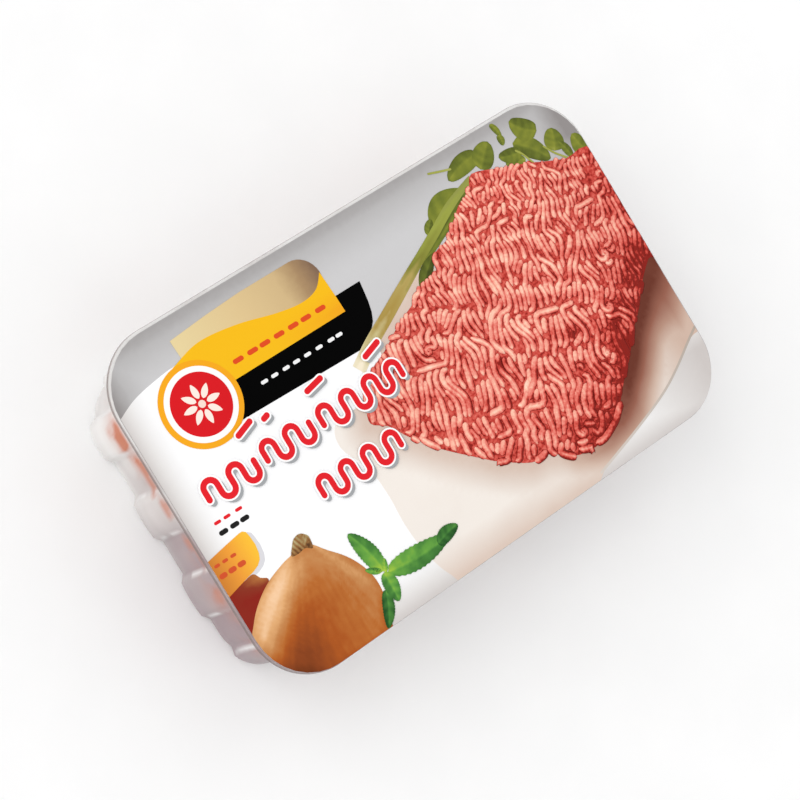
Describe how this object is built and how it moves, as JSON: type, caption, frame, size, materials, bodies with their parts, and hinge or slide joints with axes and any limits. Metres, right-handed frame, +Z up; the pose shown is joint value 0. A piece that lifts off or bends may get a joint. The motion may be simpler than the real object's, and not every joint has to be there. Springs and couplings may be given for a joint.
{
  "type": "tray pack of minced meat",
  "caption": "Sealed tray pack of minced meat: a translucent plastic tray with fluted walls, filled with mince and closed by a printed film welded to its rim.",
  "frame": {"origin": "on the ground under the middle of the tray", "axes": "+X along the pack's length, from the left of the print to its right, +Y across it towards the print's top, +Z up"},
  "size_m": [0.19, 0.115, 0.0429],
  "materials": {
    "tray_plastic": "milky translucent thermoformed plastic, satin",
    "mince": "raw minced meat, moist",
    "printed_film": "printed plastic film, soft sheen"
  },
  "bodies": {
    "root": {"tray": "tray_plastic", "mince": "mince", "lid_film": "printed_film"}
  },
  "joints": []
}
